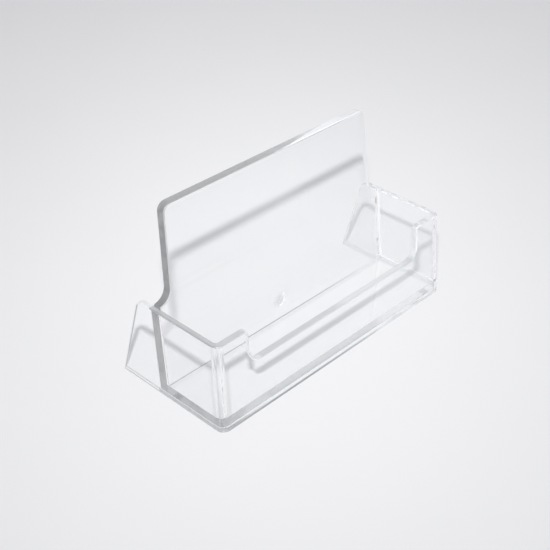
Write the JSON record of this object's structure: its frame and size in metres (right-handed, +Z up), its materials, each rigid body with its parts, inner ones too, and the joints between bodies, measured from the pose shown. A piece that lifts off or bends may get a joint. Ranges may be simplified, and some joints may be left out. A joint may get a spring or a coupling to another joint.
{
  "type": "business card holder stand",
  "caption": "Clear desk stand for business cards: a shallow tray with a wide thumb cut-out in front, a leaning back panel with swept shoulders, and sloped rear feet.",
  "frame": {"origin": "on the table, under the middle of the stand's footprint", "axes": "+Z up, the front with its thumb cut-out faces -Y, +X is to the right seen from the front"},
  "size_m": [0.096, 0.0418, 0.0565],
  "materials": {
    "clear_sheet": "clear, polished"
  },
  "bodies": {
    "root": {"base_plate": "clear_sheet", "back_panel": "clear_sheet", "front_wall": "clear_sheet", "left_side_panel": "clear_sheet", "right_side_panel": "clear_sheet"}
  },
  "joints": []
}
